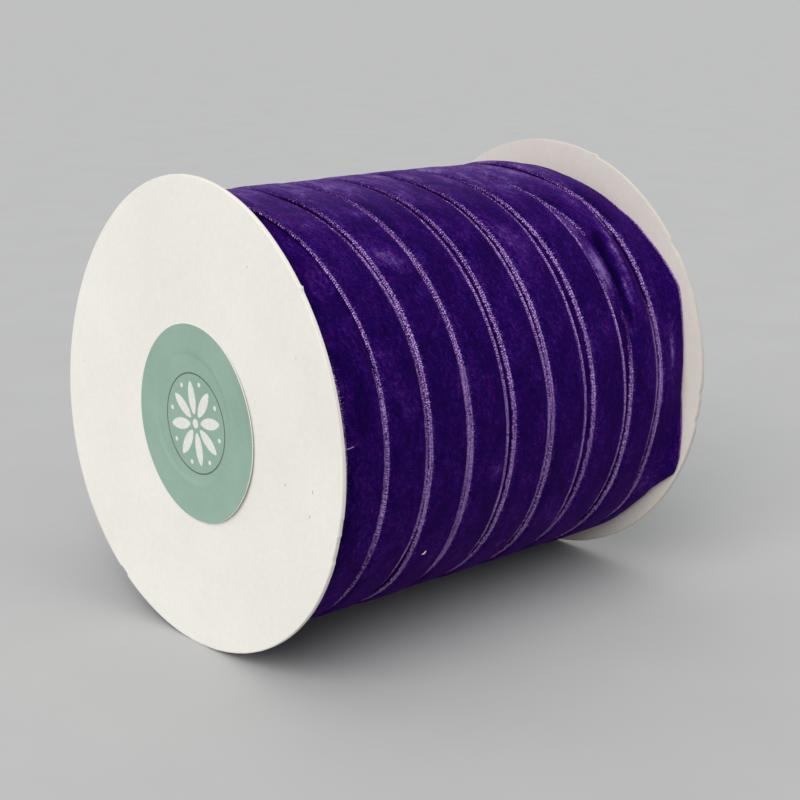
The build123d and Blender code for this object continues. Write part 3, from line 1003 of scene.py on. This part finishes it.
# ---------------------------------------------------------------- lint
def strand(name, pts, r, mat, body="spool"):
    """A short stray fibre: a closed tapering tube along pts (metres)."""
    pts = np.asarray(pts, float)
    n = 24
    tt = np.linspace(0, len(pts) - 1, n)
    c = np.stack([np.interp(tt, np.arange(len(pts)), pts[:, k]) for k in range(3)], -1)
    for _ in range(3):
        c[1:-1] = (c[:-2] + 2 * c[1:-1] + c[2:]) / 4
    rows = []
    up = np.array([0.3, 0.5, 0.8])
    for k in range(n):
        d = c[min(k + 1, n - 1)] - c[max(k - 1, 0)]
        d /= np.linalg.norm(d)
        a = np.cross(d, up)
        a /= np.linalg.norm(a)
        b = np.cross(d, a)
        rr = r * min(1.0, 0.35 + 0.65 * math.sin(math.pi * (k + 0.5) / n) ** 0.5)
        rows.append([c[k] + rr * (a * math.cos(q) + b * math.sin(q)) for q in np.arange(6) * math.pi / 3])
    V = np.array(rows)
    f = grid_faces(n, 6, wrap_cols=True).tolist()
    f += [list(range(6))[::-1], [(n - 1) * 6 + q for q in range(6)]]
    o = make(name, V.reshape(-1, 3), f, True, mats=(mat,))
    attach(o, body)
    return o


FIBRE = print_material("white_fibre", (0.72, 0.72, 0.70), (0.88, 0.88, 0.86))
PLUM = print_material("plum_fibre", (0.30, 0.16, 0.38), (0.46, 0.30, 0.52))
strand("lint_white", [place(-0.0204, 123.7, 0.0421), place(-0.0201, 123.1, 0.0424), place(-0.0198, 122.3, 0.0423)], 0.12 * MM, FIBRE)
strand("stray_fibre", [place(-0.0440, 85.8, 0.0416), place(-0.0429, 85.6, 0.0425), place(-0.0416, 85.5, 0.0422)], 0.10 * MM, PLUM)
for k, (r_, p_) in enumerate(((29.5, 101.2), (37.1, 97.8), (37.1, 105.3))):
    q0 = place(0, p_ - 0.5, r_ * MM)
    q1 = place(0, p_ + 0.6, r_ * MM)
    for q in (q0, q1):
        q[0] = XF + float(lean(p_, r_ * MM)) - 0.01 * MM
    strand("board_fleck_%d" % k, [q0, (q0 + q1) / 2 + np.array([-0.00002, 0, 0]), q1], 0.06 * MM, print_material("fleck_%d" % k, (0.30, 0.27, 0.22), (0.42, 0.38, 0.30)))


# ---------------------------------------------------------------- tape on the free end
def end_tape():
    n_a, n_x = 44, 9
    phi = np.linspace(2880 + 291, 2880 + 311.5, n_a)
    rows = []
    x_mid = float(along(END_S))
    top_r = np.interp(phi, [2880 + 291, 2880 + 300.4, 2880 + 301.4, 2880 + 303.2, 2880 + 312], [42.86, 42.84, 42.62, 41.98, 41.86]) * MM
    for side in (0, 1):
        for j in range(n_x):
            t = j / (n_x - 1) * 2 - 1
            if side:
                t = -t
            x = x_mid + t * 4.0 * MM
            crinkle = 0.02 * MM * vnoise(place(x + 0 * phi, phi, top_r), 0.0018, 31)
            # a sawn edge, as a tape cutter leaves
            saw = 0.35 * (np.abs(((t * 9) % 1) - 0.5) - 0.25)
            ph = phi + saw * smooth((phi - phi[-1] + 1.2) / 1.2)
            rows.append(place(x + 0 * phi, ph, top_r + crinkle + (0.07 * MM if side == 0 else 0.0)))
    V = np.stack(rows, 0)
    faces = grid_faces(2 * n_x, n_a, wrap_rows=True).tolist()
    faces += [[k * n_a for k in range(2 * n_x)], [k * n_a + n_a - 1 for k in range(2 * n_x)][::-1]]
    o = make("end_tape_film", V.reshape(-1, 3), faces, True, mats=(TAPE,))
    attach(o, "ribbon_end")
    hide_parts("end_tape")
    return o


end_tape()

# ---------------------------------------------------------------- stage
def look_matrix(loc, fwd, up_hint):
    f = Vector(fwd).normalized()
    r = f.cross(Vector(up_hint)).normalized()
    u = r.cross(f)
    m = Matrix((r, u, -f)).transposed().to_4x4()
    m.translation = Vector(loc)
    return m


cam_data = bpy.data.cameras.new("camera")
cam = bpy.data.objects.new("camera", cam_data)
bpy.context.scene.collection.objects.link(cam)
cam.matrix_world = look_matrix(
    (-0.200516, -0.241160, 0.127206), (0.62366, 0.73444, -0.26766), (0.17325, 0.20403, 0.96351)
)
cam_data.sensor_width = 36.0
cam_data.lens = 71.27
cam_data.clip_start = 0.01
cam_data.clip_end = 50
bpy.context.scene.camera = cam
bpy.context.scene.view_settings.view_transform = "Standard"

floor = make(
    "floor",
    [(-8, -8, 0), (8, -8, 0), (8, 8, 0), (-8, 8, 0)],
    [(0, 1, 2, 3)],
    False,
)
fm_, ft, fb, _ = material("floor")
fp = object_coord(ft)
fc = ramp(ft, noise_tex(ft, mapping(ft, fp, (30, 30, 30)), 1.0, 4.0, 0.6), [(0.3, (0.445, 0.445, 0.447)), (0.7, (0.462, 0.462, 0.464))])
ft.links.new(fc, fb.inputs["Base Color"])
fb.inputs["Roughness"].default_value = 0.95
fb.inputs["Specular IOR Level"].default_value = 0.1
floor.data.materials.append(fm_)


def area(name, loc, target, size, power, color=(1, 1, 1)):
    d = bpy.data.lights.new(name, "AREA")
    d.shape = "RECTANGLE"
    d.size, d.size_y = size
    d.energy = power
    d.color = color
    o = bpy.data.objects.new(name, d)
    bpy.context.scene.collection.objects.link(o)
    v = Vector(target) - Vector(loc)
    o.matrix_world = look_matrix(loc, v, (0, 0, 1) if abs(v.normalized().z) < 0.98 else (0, 1, 0))
    return o


def sun(name, toward, strength, angle, color=(1, 1, 1)):
    d = bpy.data.lights.new(name, "SUN")
    d.energy = strength
    d.angle = angle * RAD
    d.color = color
    o = bpy.data.objects.new(name, d)
    bpy.context.scene.collection.objects.link(o)
    o.matrix_world = look_matrix(Vector(toward) * 2, -Vector(toward), (0, 0, 1) if abs(toward[2]) < 0.95 else (0, 1, 0))
    return o


sun("key", (-0.66, -0.36, 0.66), 2.35, 50, (1.0, 0.99, 0.965))
sun("top", (0.10, 0.05, 0.99), 0.55, 70)

world = bpy.data.worlds.new("world")
world.use_nodes = True
world.node_tree.nodes["Background"].inputs[0].default_value = (0.96, 0.98, 1.0, 1)
world.node_tree.nodes["Background"].inputs[1].default_value = 0.50
bpy.context.scene.world = world
